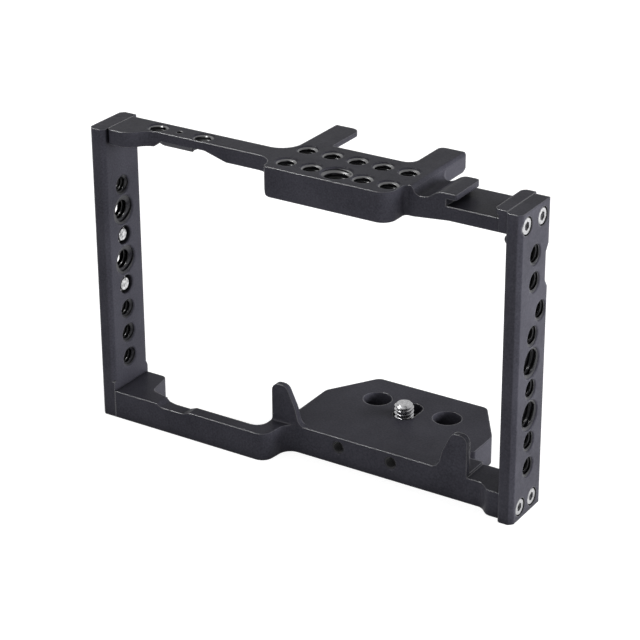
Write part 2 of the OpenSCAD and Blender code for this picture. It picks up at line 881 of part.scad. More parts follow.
// Bottom plate: one machined piece with the left bar, rear lug, base plate, fingers and right arm
module bottom_plate() {
    placed() color(black) difference() {
        union() {
            linear_extrude(height = base_t) base_outline();
            fingers();
            finger_foot();
        }
        translate([low_floor_x, 0, base_t - base_step])
            cube([right_in - low_floor_x + cut_over, arm_back + cut_over, base_step + cut_over]);
        front_view(-cut_over, base_bar_d + cut_over) polygon([
            [channel_start - cut_over, base_t + cut_over],
            [channel_start, base_t], [channel_flat, base_t - channel_d],
            [channel_flat_end, base_t - channel_d], [channel_end, base_t],
            [channel_end + cut_over, base_t + cut_over]
        ]);
        screw_slot();
        for (x = plain_hole_xs)
            translate([x, plain_hole_y, -cut_over])
                cylinder(d = plain_hole_d, h = base_t + 2 * cut_over, $fn = fine);
        for (x = front_hole_xs)
            translate([x, base_front, front_hole_z]) rotate([-90, 0, 0]) {
                translate([0, 0, -cut_over])
                    cylinder(d = front_thread_d, h = front_hole_depth + cut_over, $fn = fine);
                hole_mouth(front_thread_d, small_sink);
            }
        for (yz = [left_bottom_front, left_bottom_rear])
            along_x(left_in, yz) cap_thread_hole(left_t);
        for (yz = [right_bottom_front, right_bottom_rear])
            along_x(right_in, yz) mirror([0, 0, 1]) cap_thread_hole(right_t);
    }
}

// A set screw in the left plate: its dog point faces the camera, its socket faces outwards
module set_screw(row) {
    z = cage_h - left_top_drop - row * hole_pitch;
    body_d = small_thread_d - 2 * running_gap;
    placed() along_x(left_in - set_gap, [left_hole_y, z]) mirror([0, 0, 1])
        color(steel) difference() {
            union() {
                cylinder(d = set_dog_d, h = set_dog_h, $fn = fine);
                cylinder_from(set_dog_h, body_d, set_body_h - set_edge);
                translate([0, 0, set_dog_h + set_body_h - set_edge])
                    cylinder(d1 = body_d, d2 = body_d - 2 * set_edge, h = set_edge, $fn = fine);
            }
            translate([0, 0, set_dog_h + set_body_h - set_socket_d])
                cylinder(r = set_socket / sqrt(3), h = set_socket_d + cut_over, $fn = 6);
        }
}

// The camera screw, standing up through the slot. Its neck is relieved, and its head has a coin slot.
module camera_screw() {
    head_top = ledge_z - seat_gap - washer_t;
    head_low = head_top - screw_head_h;
    thread_top = base_t + screw_stand;
    placed() translate([slot_x, slot_y, 0]) color(steel) difference() {
        union() {
            translate([0, 0, head_low])
                cylinder(d1 = screw_head_d - 2 * head_edge, d2 = screw_head_d, h = head_edge, $fn = fine);
            cylinder_from(head_low + head_edge, screw_head_d, screw_head_h - head_edge);
            cylinder_from(head_top, screw_neck_d, thread_low - head_top);
            cylinder_from(thread_low, screw_d, thread_top - screw_tip - thread_low);
            translate([0, 0, thread_top - screw_tip])
                cylinder(d1 = screw_d, d2 = screw_d - 2 * screw_tip, h = screw_tip, $fn = fine);
        }
        translate([-screw_head_d, -coin_slot_w / 2, head_low - cut_over])
            cube([2 * screw_head_d, coin_slot_w, coin_slot_d + cut_over]);
    }
}

// The washer between the screw's head and the ledge of the slot
module screw_washer() {
    placed() translate([slot_x, slot_y, ledge_z - seat_gap - washer_t]) color(steel) difference() {
        cylinder(d = washer_d, h = washer_t, $fn = fine);
        translate([0, 0, -cut_over])
            cylinder(d = screw_d + 2 * running_gap, h = washer_t + 2 * cut_over, $fn = fine);
    }
}

left_side_plate();
right_side_plate();
top_bar();
bottom_plate();
right_cap_screw(right_top_front);  // right_top_front_screw
right_cap_screw(right_top_rear);  // right_top_rear_screw
right_cap_screw(right_bottom_front);  // right_bottom_front_screw
right_cap_screw(right_bottom_rear);  // right_bottom_rear_screw
left_cap_screw(left_top_front);  // left_top_front_screw
left_cap_screw(left_top_rear);  // left_top_rear_screw
left_cap_screw(left_bottom_front);  // left_bottom_front_screw
left_cap_screw(left_bottom_rear);  // left_bottom_rear_screw
set_screw(set_screw_rows[0]);  // upper_set_screw
set_screw(set_screw_rows[1]);  // lower_set_screw
camera_screw();
screw_washer();
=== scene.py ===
# %% [markdown]
# This lesson gives an open camera cage its finish. The real object is a light frame of milled
# aluminium, screwed together round a camera body, so that handles, lights and microphones can
# be fastened to it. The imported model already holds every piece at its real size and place, in
# metres, so nothing is moved or resized here: the lesson adds finish, threads, light and a
# camera.

# %% Load the frame
import json
import math

import bmesh
import bpy
from mathutils import Matrix, Vector


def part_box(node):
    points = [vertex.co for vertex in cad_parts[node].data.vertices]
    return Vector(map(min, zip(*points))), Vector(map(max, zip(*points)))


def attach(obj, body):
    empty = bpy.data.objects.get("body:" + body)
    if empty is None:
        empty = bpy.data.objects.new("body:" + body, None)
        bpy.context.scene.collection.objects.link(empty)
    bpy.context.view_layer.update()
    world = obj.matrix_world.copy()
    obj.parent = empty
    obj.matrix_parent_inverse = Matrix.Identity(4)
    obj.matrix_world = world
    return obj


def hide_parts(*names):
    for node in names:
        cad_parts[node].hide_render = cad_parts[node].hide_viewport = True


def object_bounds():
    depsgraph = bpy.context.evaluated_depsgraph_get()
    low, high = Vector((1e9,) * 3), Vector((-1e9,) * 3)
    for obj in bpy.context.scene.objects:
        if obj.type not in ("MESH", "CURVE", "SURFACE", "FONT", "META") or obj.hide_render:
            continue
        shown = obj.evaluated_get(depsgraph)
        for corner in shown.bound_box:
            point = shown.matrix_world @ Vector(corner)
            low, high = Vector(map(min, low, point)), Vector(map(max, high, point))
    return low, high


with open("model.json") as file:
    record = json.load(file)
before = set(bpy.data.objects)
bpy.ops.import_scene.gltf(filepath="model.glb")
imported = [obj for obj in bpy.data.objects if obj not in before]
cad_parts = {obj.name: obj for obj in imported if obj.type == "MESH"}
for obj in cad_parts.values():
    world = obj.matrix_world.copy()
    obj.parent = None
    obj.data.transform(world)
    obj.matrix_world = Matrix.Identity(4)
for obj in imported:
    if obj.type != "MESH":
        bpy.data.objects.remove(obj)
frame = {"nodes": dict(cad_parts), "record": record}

MM = 0.001
nodes = frame["nodes"]
mounts = frame["record"]["mounts"]
cad_low, cad_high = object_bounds()
print("size in mm:", [round(side / MM, 1) for side in cad_high - cad_low])

# %% [markdown]
# The pieces fall into three finishes: the four black frame pieces, the socket cap screws, and
# the bright screws inside the cage. Grouping the names once keeps the later cells short.

# %% Group the pieces by finish
FRAME_PIECES = ["left_side_plate", "right_side_plate", "top_bar", "bottom_plate"]
CAP_SCREWS = [name for name in nodes if name.endswith("_screw") and name.count("_") == 3]
SET_SCREWS = ["upper_set_screw", "lower_set_screw"]
TAPPED_HOLES = [mount for mount in mounts if mount["kind"] == "threaded_hole"]
print(len(FRAME_PIECES), "frame pieces,", len(CAP_SCREWS), "cap screws")
print(len(TAPPED_HOLES), "tapped holes")

# %% [markdown]
# The camera stands where the photographer's stood: in front of the cage, to its right and a
# little above it. A long lens keeps the uprights nearly parallel. Its place could be found by
# trial, but here it was worked out from the drill holes, whose real distances are known. The
# picture's optical axis lies above its middle, so the lens has a small shift.

# %% Set up the camera
PHOTO_SIDE = 640
FOCAL_PIXELS = 2197.5
AXIS_ROW = 250
SENSOR = 36
NEAREST_SEEN = 0.01
FARTHEST_SEEN = 50
CAMERA_PLACE = Vector((336.15, -538.5, 339.4)) * MM
AZIMUTH = math.radians(32.44)
ELEVATION = math.radians(23.29)
ROLL = math.radians(-0.30)


def camera_axes(azimuth, elevation, roll):
    """The camera's right, up and backward directions."""
    ahead = Vector((
        -math.sin(azimuth) * math.cos(elevation),
        math.cos(azimuth) * math.cos(elevation),
        -math.sin(elevation),
    ))
    level_right = Vector((math.cos(azimuth), math.sin(azimuth), 0))
    level_up = level_right.cross(ahead)
    right = level_right * math.cos(roll) + level_up * math.sin(roll)
    up = level_up * math.cos(roll) - level_right * math.sin(roll)
    return right, up, -ahead


camera_data = bpy.data.cameras.new("camera")
camera_data.sensor_width = SENSOR
camera_data.lens = FOCAL_PIXELS / PHOTO_SIDE * SENSOR
camera_data.shift_y = (AXIS_ROW - PHOTO_SIDE / 2) / PHOTO_SIDE
camera_data.clip_start = NEAREST_SEEN
camera_data.clip_end = FARTHEST_SEEN
camera = bpy.data.objects.new("camera", camera_data)
axes = Matrix(camera_axes(AZIMUTH, ELEVATION, ROLL)).transposed()
camera.matrix_world = Matrix.Translation(CAMERA_PLACE) @ axes.to_4x4()
bpy.context.collection.objects.link(camera)
bpy.context.scene.camera = camera
print("lens in mm:", round(camera_data.lens, 1), "shift:", round(camera_data.shift_y, 3))

# %% [markdown]
# Shader nodes are wired up many times below. Small helpers add a node with its settings, start
# a material and lay down noise, so each finish stays readable. Noise seldom leaves the middle
# of its range from 0 to 1, so a last helper stretches that middle over the values that a finish
# wants.

# %% Helpers for shader nodes
NOISE_MIDDLE = (0.3, 0.7)


def add_node(tree, kind, values=None, **settings):
    """Adds a shader node, sets its attributes and its input sockets."""
    node = tree.nodes.new(kind)
    for name, value in settings.items():
        setattr(node, name, value)
    for socket, value in (values or {}).items():
        node.inputs[socket].default_value = value
    return node


def new_material(name):
    """An empty node material and its output node."""
    material = bpy.data.materials.new(name)
    material.use_nodes = True
    material.node_tree.nodes.clear()
    output = add_node(material.node_tree, "ShaderNodeOutputMaterial")
    return material, material.node_tree, output


def noise(tree, size_mm, detail, source):
    """Noise whose grain is about size_mm wide, read in the object's own space."""
    node = add_node(tree, "ShaderNodeTexNoise", {"Scale": 1 / (size_mm * MM), "Detail": detail})
    tree.links.new(source.outputs["Object"], node.inputs["Vector"])
    return node.outputs["Fac"]


def map_range(tree, value, source, target):
    """Maps a value from the source range to the target range and stops at its ends."""
    node = add_node(tree, "ShaderNodeMapRange", {
        "From Min": source[0], "From Max": source[1], "To Min": target[0], "To Max": target[1],
    })
    tree.links.new(value, node.inputs["Value"])
    return node.outputs["Result"]


def spread(tree, factor, low, high):
    """Maps the useful middle of a noise to the range low to high."""
    return map_range(tree, factor, NOISE_MIDDLE, (low, high))


def times(tree, value, factor):
    """A number multiplied by a constant."""
    node = add_node(tree, "ShaderNodeMath", operation="MULTIPLY")
    node.inputs[1].default_value = factor
    tree.links.new(value, node.inputs[0])
    return node.outputs["Value"]


print("helpers ready")

# %% [markdown]
# The frame is black anodised over a bead blast. Anodising is a thin dyed glassy layer, so it is
# closer to a dull dielectric than to bare metal. The blast leaves its faces almost without
# gloss, or they would mirror the white room wherever they are seen at a flat angle. Dye takes
# slightly unevenly over some millimetres, and the blast leaves a fine speckle and a finer
# grain. All of it comes from noise in the object's own space, so it stays put in every view.
#
# A milled edge is never razor sharp. That narrow strip is rubbed smooth by hands and cases and
# catches the light, so the finish rounds the shading there. Where the rounded direction leaves
# the face's own direction, the surface is an edge and gets more gloss. Hollows get painted shade:
# wherever walls stand close together, where little light would find its way out, the colour itself
# is darkened. Sizes and reaches in this lesson are in millimetres unless MM is already in them.

# %% Black anodised finish
GLASSY_IOR = 1.77
CLOUD_SIZE = 14
CLOUD_SHARE = 0.45
SPECKLE_SIZE = 0.6
SPECKLE_SHARE = 0.55
DARK_DYE = (0.62, 0.61, 0.78)
LIGHT_DYE = (1.30, 1.28, 1.60)
HOLLOW_REACH = 6
HOLLOW_OPENNESS = (0.25, 0.72)
HOLLOW_LIGHT = (0.2, 1.0)
WORN_SIZE = 3.2
GRAIN_SIZE = 0.16
GRAIN_DEPTH = 0.02
EDGE_GLOSS = 0.45
EDGE_LIKENESS = (0.91, 0.76)


def dye_with_painted_shade(tree, tone, place):
    """The dye's uneven colour, darkened in hollows as painted shade."""
    cloudy = noise(tree, CLOUD_SIZE, 3, place)
    speckle = noise(tree, SPECKLE_SIZE, 3, place)
    mottle = add_node(tree, "ShaderNodeMath", operation="MULTIPLY_ADD")
    mottle.inputs[1].default_value = CLOUD_SHARE
    tree.links.new(cloudy, mottle.inputs[0])
    tree.links.new(times(tree, speckle, SPECKLE_SHARE), mottle.inputs[2])
    mix = add_node(tree, "ShaderNodeMix", data_type="RGBA")
    for socket, dye in (("A", DARK_DYE), ("B", LIGHT_DYE)):
        mix.inputs[socket].default_value = (*(tone * share for share in dye), 1)
    tree.links.new(spread(tree, mottle.outputs["Value"], 0, 1), mix.inputs["Factor"])
    # Ambient occlusion darkens the colour itself in hollows and between parts: this is painted
    # shade.
    reach = {"Distance": HOLLOW_REACH * MM}
    openness = add_node(tree, "ShaderNodeAmbientOcclusion", reach, samples=6)
    light_left = map_range(tree, openness.outputs["AO"], HOLLOW_OPENNESS, HOLLOW_LIGHT)
    shaded_dye = add_node(tree, "ShaderNodeVectorMath", operation="SCALE")
    tree.links.new(mix.outputs["Result"], shaded_dye.inputs[0])
    tree.links.new(light_left, shaded_dye.inputs["Scale"])
    return shaded_dye.outputs["Vector"]


def burnish_edges(tree, shader, bump, gloss, edge_radius):
    """Rounds the shading at edges and raises the gloss there."""
    rounded = add_node(tree, "ShaderNodeBevel", {"Radius": edge_radius * MM}, samples=8)
    tree.links.new(rounded.outputs["Normal"], bump.inputs["Normal"])
    face = add_node(tree, "ShaderNodeNewGeometry")
    likeness = add_node(tree, "ShaderNodeVectorMath", operation="DOT_PRODUCT")
    tree.links.new(rounded.outputs["Normal"], likeness.inputs[0])
    tree.links.new(face.outputs["Normal"], likeness.inputs[1])
    burnished = map_range(tree, likeness.outputs["Value"], EDGE_LIKENESS, (gloss, EDGE_GLOSS))
    tree.links.new(burnished, shader.inputs["Specular IOR Level"])


def black_anodised(name, tone, roughness, grain, gloss, edge_radius=0):
    """Dyed black anodising, with painted shade in its hollows. tone is the dye's linear grey,
    grain the strength of the blast, gloss the shine of its faces and edge_radius the rounding of
    its edges in mm."""
    material, tree, output = new_material(name)
    place = add_node(tree, "ShaderNodeTexCoord")
    shader = add_node(tree, "ShaderNodeBsdfPrincipled", {
        "Metallic": 0.0, "Specular IOR Level": gloss, "IOR": GLASSY_IOR,
    })
    tree.links.new(dye_with_painted_shade(tree, tone, place), shader.inputs["Base Color"])
    worn = noise(tree, WORN_SIZE, 4, place)
    uneven = spread(tree, worn, roughness - 0.03, roughness + 0.04)
    tree.links.new(uneven, shader.inputs["Roughness"])
    blast = noise(tree, GRAIN_SIZE, 2, place)
    bump = add_node(tree, "ShaderNodeBump", {"Strength": grain, "Distance": GRAIN_DEPTH * MM})
    tree.links.new(blast, bump.inputs["Height"])
    if edge_radius > 0:
        burnish_edges(tree, shader, bump, gloss, edge_radius)
    tree.links.new(bump.outputs["Normal"], shader.inputs["Normal"])
    tree.links.new(shader.outputs["BSDF"], output.inputs["Surface"])
    return material


frame_black = black_anodised(
    "black_anodised", tone=0.036, roughness=0.36, grain=0.5, gloss=0.016, edge_radius=0.9
)
# Both thread finishes are darker than the frame's dye, as painted shade in the holes. The upright
# copy is a touch lighter and far glossier: a lit copy that catches glints.
shaded_thread = black_anodised("side_thread", tone=0.010, roughness=0.28, grain=0.12, gloss=0.14)
lit_thread = black_anodised("upright_thread", tone=0.014, roughness=0.3, grain=0.12, gloss=0.64)
print("made", frame_black.name, "and", shaded_thread.name, "and", lit_thread.name)

# %% [markdown]
# The screws are turned steel. A lathe leaves fine rings round the screw's axis, so the rings
# are drawn from the distance to that axis, and each screw needs to know where its axis lies.
# The alternative, an anisotropic shader, needs tangents that these meshes don't have. Handling
# leaves faint stains, which both tint the steel and change its roughness.

# %% Turned steel finish
TURNING_PITCH = 0.22
TURNING_DEPTH = 0.01
STAIN_SIZE = 0.9
FAINT_STAIN = (0.74, 1.16)
STEEL_BLUE = 0.02


def turned_steel(name, centre, along, tone, roughness, stain_range=FAINT_STAIN):
    """Bright steel with lathe rings round the axis through centre. along is the axis, X or Z,
    and stain_range gives the darkest and lightest shares of the tone."""
    material, tree, output = new_material(name)
    place = add_node(tree, "ShaderNodeTexCoord")
    shift = add_node(tree, "ShaderNodeVectorMath", operation="SUBTRACT")
    shift.inputs[1].default_value = centre
    tree.links.new(place.outputs["Object"], shift.inputs[0])
    flatten = add_node(tree, "ShaderNodeVectorMath", operation="MULTIPLY")
    flatten.inputs[1].default_value = (0, 1, 1) if along == "X" else (1, 1, 0)
    tree.links.new(shift.outputs["Vector"], flatten.inputs[0])
    radius = add_node(tree, "ShaderNodeVectorMath", operation="LENGTH")
    tree.links.new(flatten.outputs["Vector"], radius.inputs[0])
    turns = times(tree, radius.outputs["Value"], math.tau / (TURNING_PITCH * MM))
    rings = add_node(tree, "ShaderNodeMath", operation="SINE")
    tree.links.new(turns, rings.inputs[0])
    bump = add_node(tree, "ShaderNodeBump", {"Strength": 0.10, "Distance": TURNING_DEPTH * MM})
    tree.links.new(rings.outputs["Value"], bump.inputs["Height"])
    shader = add_node(tree, "ShaderNodeBsdfPrincipled", {"Metallic": 1.0})
    stain = noise(tree, STAIN_SIZE, 3, place)
    mix = add_node(tree, "ShaderNodeMix", data_type="RGBA")
    for socket, share in zip(("A", "B"), stain_range):
        bluish = tone * (share + STEEL_BLUE)
        mix.inputs[socket].default_value = (tone * share, tone * share, bluish, 1)
    tree.links.new(spread(tree, stain, 0, 1), mix.inputs["Factor"])
    tree.links.new(mix.outputs["Result"], shader.inputs["Base Color"])
    uneven = spread(tree, stain, roughness - 0.04, roughness + 0.06)
    tree.links.new(uneven, shader.inputs["Roughness"])
    tree.links.new(bump.outputs["Normal"], shader.inputs["Normal"])
    tree.links.new(shader.outputs["BSDF"], output.inputs["Surface"])
    return material


print("turned steel ready, ring pitch", TURNING_PITCH, "mm")

# %% [markdown]
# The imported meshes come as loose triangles, so each is welded first. Curved walls are then
# shaded smooth and real corners are kept crisp: the switch is the angle between two faces.
# Screws are simple turned shapes, so their edges get a true bevel as well. The frame pieces
# have crowded outlines on which a mesh bevel would tear, so their edges are rounded in the
# finish.

# %% Weld and smooth the meshes
CORNER_DEGREES = 20
WELD_REACH = 0.001 * MM
FLAT_DEGREES = 0.6
BEVEL_DEGREES = 40


def smooth_by_angle(limit_degrees):
    """A node group that shades smooth, except across edges sharper than the limit."""
    group = bpy.data.node_groups.new("smooth_by_angle", "GeometryNodeTree")
    group.interface.new_socket("Geometry", in_out="INPUT", socket_type="NodeSocketGeometry")
    group.interface.new_socket("Geometry", in_out="OUTPUT", socket_type="NodeSocketGeometry")
    entry = group.nodes.new("NodeGroupInput")
    leave = group.nodes.new("NodeGroupOutput")
    faces = group.nodes.new("GeometryNodeSetShadeSmooth")
    edges = group.nodes.new("GeometryNodeSetShadeSmooth")
    edges.domain = "EDGE"
    edges.inputs["Shade Smooth"].default_value = False
    angle = group.nodes.new("GeometryNodeInputMeshEdgeAngle")
    sharper = group.nodes.new("FunctionNodeCompare")
    sharper.data_type = "FLOAT"
    sharper.operation = "GREATER_THAN"
    sharper.inputs[1].default_value = math.radians(limit_degrees)
    group.links.new(entry.outputs[0], faces.inputs["Geometry"])
    group.links.new(faces.outputs["Geometry"], edges.inputs["Geometry"])
    group.links.new(angle.outputs["Unsigned Angle"], sharper.inputs[0])
    group.links.new(sharper.outputs["Result"], edges.inputs["Selection"])
    group.links.new(edges.outputs["Geometry"], leave.inputs[0])
    return group


smoothing = smooth_by_angle(CORNER_DEGREES)


def weld_and_smooth(piece, edge_break_mm=0):
    """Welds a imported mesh, may bevel its edges, and shades it smooth between its corners."""
    weld = piece.modifiers.new("weld", "WELD")
    weld.merge_threshold = WELD_REACH
    if edge_break_mm > 0:
        flat = piece.modifiers.new("flat_faces", "DECIMATE")
        flat.decimate_type = "DISSOLVE"
        flat.angle_limit = math.radians(FLAT_DEGREES)
        bevel = piece.modifiers.new("edge_break", "BEVEL")
        bevel.width = edge_break_mm * MM
        bevel.segments = 2
        bevel.limit_method = "ANGLE"
        bevel.angle_limit = math.radians(BEVEL_DEGREES)
    shade = piece.modifiers.new("smooth", "NODES")
    shade.node_group = smoothing


def dress(piece, material):
    """Gives a piece its material."""
    piece.data.materials.clear()
    piece.data.materials.append(material)


for name in FRAME_PIECES:
    weld_and_smooth(nodes[name])
    dress(nodes[name], frame_black)
    print(name, "welded and dressed in", frame_black.name)

# %% [markdown]
# Now the screws. The cap screws sit just below the face in their counterbores, with a hexagon
# socket each. The set screws in the left plate show only their points, and those look uneven in
# the photo, so their steel is more spotted. The shapes are right as packed, so the screws only
# get an edge break and the turned finish.

# %% Dress the screws
CAP_EDGE = 0.12
POINT_EDGE = 0.4
WASHER_EDGE = 0.1
SPOTTED = (0.35, 1.9)


def middle(name):
    """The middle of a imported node's box."""
    low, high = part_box(name)
    return (Vector(low) + Vector(high)) / 2


for name in CAP_SCREWS:
    weld_and_smooth(nodes[name], CAP_EDGE)
    steel = turned_steel(name + "_steel", middle(name), "X", 0.44, 0.26)
    dress(nodes[name], steel)
for name in SET_SCREWS:
    weld_and_smooth(nodes[name], POINT_EDGE)
    steel = turned_steel(name + "_steel", middle(name), "X", 0.38, 0.22, SPOTTED)
    dress(nodes[name], steel)
washer_steel = turned_steel("washer_steel", middle("screw_washer"), "Z", 0.62, 0.30)
weld_and_smooth(nodes["screw_washer"], WASHER_EDGE)
dress(nodes["screw_washer"], washer_steel)
print("dressed", len(CAP_SCREWS) + len(SET_SCREWS), "screws and the washer")

# %% [markdown]
# Nearly every hole of a cage is tapped, and the turns of the thread are what the eye picks out
# inside them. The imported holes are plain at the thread's outer diameter, so each gets its
# thread as a ring of its own: a 60 degree profile swept up a helix, fading out into the
# countersink at both mouths, on a thin skin that lies in the wall. Sweeping a curve would leave
# open ends, so the mesh is built column by column, each one raised by its share of the pitch.

# %% Build a helical surface
COLUMNS = 56
CREST_SHARE = 0.20
ROOT_SHARE = 0.12
FLANK_SHARE = (1 - CREST_SHARE - ROOT_SHARE) / 2
SECOND_FLANK = CREST_SHARE + FLANK_SHARE + ROOT_SHARE
PLACES = [
    0,
    CREST_SHARE,
    CREST_SHARE + FLANK_SHARE / 2,
    CREST_SHARE + FLANK_SHARE,
    SECOND_FLANK,
    SECOND_FLANK + FLANK_SHARE / 2,
]
SEAM_REACH = 0.002 * MM
UP = Vector((0, 0, 1))


def ridge(phase):
    """How far the profile stands off its root, from 0 to 1, at a place along one pitch."""
    phase = phase % 1
    if phase < CREST_SHARE:
        return 1
    if phase < SECOND_FLANK - ROOT_SHARE:
        return 1 - (phase - CREST_SHARE) / FLANK_SHARE
    if phase < SECOND_FLANK:
        return 0
    return (phase - SECOND_FLANK) / FLANK_SHARE


def helix_column(mesh, share, length, pitch, radius_at):
    """The vertices up one column of a helical surface, clamped to its length."""
    angle = math.tau * share
    column = []
    for turn in range(-1, math.ceil(length / pitch) + 2):
        for place in PLACES:
            height = min(max((turn + place + share) * pitch, 0), length)
            radius = radius_at(ridge(height / pitch - share), height)
            spot = (radius * math.cos(angle), radius * math.sin(angle), height)
            column.append(mesh.verts.new(spot))
    return column


def helix_surface(mesh, length, pitch, radius_at):
    """Adds a helical surface and returns its columns. The last meets the first one turn higher."""
    columns = [
        helix_column(mesh, step / COLUMNS, length, pitch, radius_at) for step in range(COLUMNS)
    ]
    for step, here in enumerate(columns):
        following = columns[(step + 1) % COLUMNS]
        rise = len(PLACES) if step == COLUMNS - 1 else 0
        for row in range(len(here) - 1 - rise):
            across = row + rise
            mesh.faces.new((here[row], following[across], following[across + 1], here[row + 1]))
    return columns


def circle(mesh, radius, height):
    """A ring of vertices in step with the helix columns."""
    return [
        mesh.verts.new((
            radius * math.cos(math.tau * step / COLUMNS),
            radius * math.sin(math.tau * step / COLUMNS),
            height,
        ))
        for step in range(COLUMNS)
    ]


def join_rings(mesh, first, second):
    """Faces between two rings of vertices."""
    for step in range(COLUMNS):
        after = (step + 1) % COLUMNS
        mesh.faces.new((first[step], first[after], second[after], second[step]))


def finished_piece(mesh, name, place, axis, body, material, start_turn=0):
    """Closes the seams of a mesh built along Z, stands it at its place and lets it ride on a body.
    start_turn is the share of a turn by which the mesh is turned about its axis first."""
    bmesh.ops.remove_doubles(mesh, verts=mesh.verts, dist=SEAM_REACH)
    bmesh.ops.recalc_face_normals(mesh, faces=mesh.faces)
    data = bpy.data.meshes.new(name)
    mesh.to_mesh(data)
    mesh.free()
    turn = UP.rotation_difference(axis).to_matrix().to_4x4()
    start = Matrix.Rotation(math.tau * start_turn, 4, "Z")
    data.transform(Matrix.Translation(place) @ turn @ start)
    piece = bpy.data.objects.new(name, data)
    bpy.context.collection.objects.link(piece)
    shade = piece.modifiers.new("smooth", "NODES")
    shade.node_group = smoothing
    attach(piece, body)
    dress(piece, material)
    return piece


print("profile points in one turn:", len(PLACES))

# %% [markdown]
# Camera threads come in two sizes, a quarter and three eighths of an inch, with 20 and 16 turns
# to the inch. The two small holes in the front of the bottom plate take a metric thread. The
# record's mounts say where each threaded length lies, so the rings are placed from those and
# not by hand. The two holes with set screws stay plain, because the screws slide in them. The
# two holes in the thin arm are cut on one side by a relief, so their threads keep to the whole
# wall above it.
#
# In the photo the two large holes of the left plate let hardly any light through, and the
# threads on top shine while those in the side plates stay dark. So the large left threads are
# drawn deeper than the standard, more so toward the far mouth. The threads on top are a lit copy
# of the thread finish, a touch lighter and far glossier so that they catch glints, and those in
# the side plates a shaded copy, darker and duller: painted shade in the holes. All threads start
# at the same part of a turn, chosen so that the gaps between the turns fall close to where the
# photo has them.

# %% Thread the holes
PITCHES = {3.175: 1.27, 4.7625: 1.5875, 2.0: 0.7}
LARGE_RADIUS = 4
THREAD_HEIGHTS = (0.56, 0.56)
DEEP_HEIGHTS = (0.90, 1.1)
RUN_OUT = 1.5
DEEP_RUN_OUT = 3.5
FAR_RUN_OUT = 2
THREAD_START = 0.63
BAR_THREAD = 2.5 * MM
BAR_CHAMFER = 0.35 * MM
SKIN = 0.05 * MM
ROOT_GAP = 0.02 * MM


def thread_ring(mount):
    """A closed ring with an internal thread, filling the threaded length of a mount."""
    hole_radius = mount["dims"]["r_mm"]
    radius = hole_radius * MM
    length = mount["dims"]["length_mm"] * MM
    centre = Vector(mount["pos_m"])
    if mount["name"].startswith("bar_hole"):
        length = BAR_THREAD
        centre.z = cad_high.z - (BAR_CHAMFER + BAR_THREAD / 2)
    pitch = PITCHES[hole_radius] * MM
    deep = mount["name"].startswith("left") and hole_radius > LARGE_RADIUS
    near_height, far_height = DEEP_HEIGHTS if deep else THREAD_HEIGHTS
    run_out = DEEP_RUN_OUT if deep else RUN_OUT

    def inner(height_share, height):
        """The radius of the hole's thread, which fades out at both mouths."""
        fade = run_out * min(height, FAR_RUN_OUT * (length - height))
        full = near_height + (far_height - near_height) * height / length
        return radius - ROOT_GAP - min(full * pitch * height_share, fade)

    mesh = bmesh.new()
    columns = helix_surface(mesh, length, pitch, inner)
    low = circle(mesh, radius + SKIN, 0)
    high = circle(mesh, radius + SKIN, length)
    join_rings(mesh, [column[0] for column in columns], low)
    join_rings(mesh, low, high)
    join_rings(mesh, high, [column[-1] for column in columns])
    axis = Vector(mount["axis"])
    start = centre - axis * length / 2
    name = mount["name"] + "_thread"
    # Threads on top take the lit copy and threads in the side plates the shaded copy.
    on_top = mount["name"].startswith(("block", "bar_hole"))
    material = lit_thread if on_top else shaded_thread
    return finished_piece(
        mesh, name, start, axis, "frame", material, THREAD_START
    )


rings = [thread_ring(mount) for mount in TAPPED_HOLES]
faces = sum(len(ring.data.polygons) for ring in rings)
print("threaded", len(rings), "holes with", faces, "faces")

# %% [markdown]
# The screw that holds the camera stands up through the slot of the bottom plate, and its thread
# is in full view, so it gets real turns too. Its head with the coin slot is taken from the
# packed screw, cut off just under the plain shank, and the threaded shank is built on it.

# %% Build the camera screw
SCREW_PITCH = 1.27 * MM
SCREW_RADIUS = 3.15 * MM
SCREW_RIDGE = 0.72 * MM
TIP_CHAMFER = 0.85 * MM
SHANK_SINK = 0.3 * MM
HEAD_RISE = 0.1 * MM
washer_low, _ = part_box("screw_washer")
_, screw_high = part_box("camera_screw")
screw_centre = middle("screw_washer")
shank_start = washer_low.z - SHANK_SINK
shank_length = screw_high.z - shank_start


def outer(height_share, height):
    """The radius of the screw's thread, cut back to a cone at the tip."""
    full = SCREW_RADIUS - SCREW_RIDGE * (1 - height_share)
    return min(full, SCREW_RADIUS - TIP_CHAMFER + (shank_length - height))


shank = bmesh.new()
columns = helix_surface(shank, shank_length, SCREW_PITCH, outer)
shank.faces.new([column[-1] for column in columns])
shank.faces.new([column[0] for column in columns])
axis_foot = Vector((screw_centre.x, screw_centre.y, shank_start))
screw_steel = turned_steel("camera_screw_steel", screw_centre, "Z", 0.40, 0.24)
shank_piece = finished_piece(
    shank, "camera_screw_shank", axis_foot, UP, "camera_bolt", screw_steel
)
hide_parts("camera_screw")

head = bmesh.new()
head.from_mesh(nodes["camera_screw"].data)
bmesh.ops.remove_doubles(head, verts=head.verts, dist=WELD_REACH)
cut = bmesh.ops.bisect_plane(
    head, geom=head.verts[:] + head.edges[:] + head.faces[:], dist=WELD_REACH / 10,
    plane_co=(0, 0, washer_low.z + HEAD_RISE), plane_no=UP, clear_outer=True,
)
rim = [part for part in cut["geom_cut"] if isinstance(part, bmesh.types.BMEdge)]
bmesh.ops.contextual_create(head, geom=rim)
finished_piece(
    head, "camera_screw_head", Vector((0, 0, 0)), UP, "camera_bolt", screw_steel
)
print("camera screw shank", round(shank_length / MM, 2), "mm long")
print("its top stands at", round(screw_high.z / MM, 2), "mm")

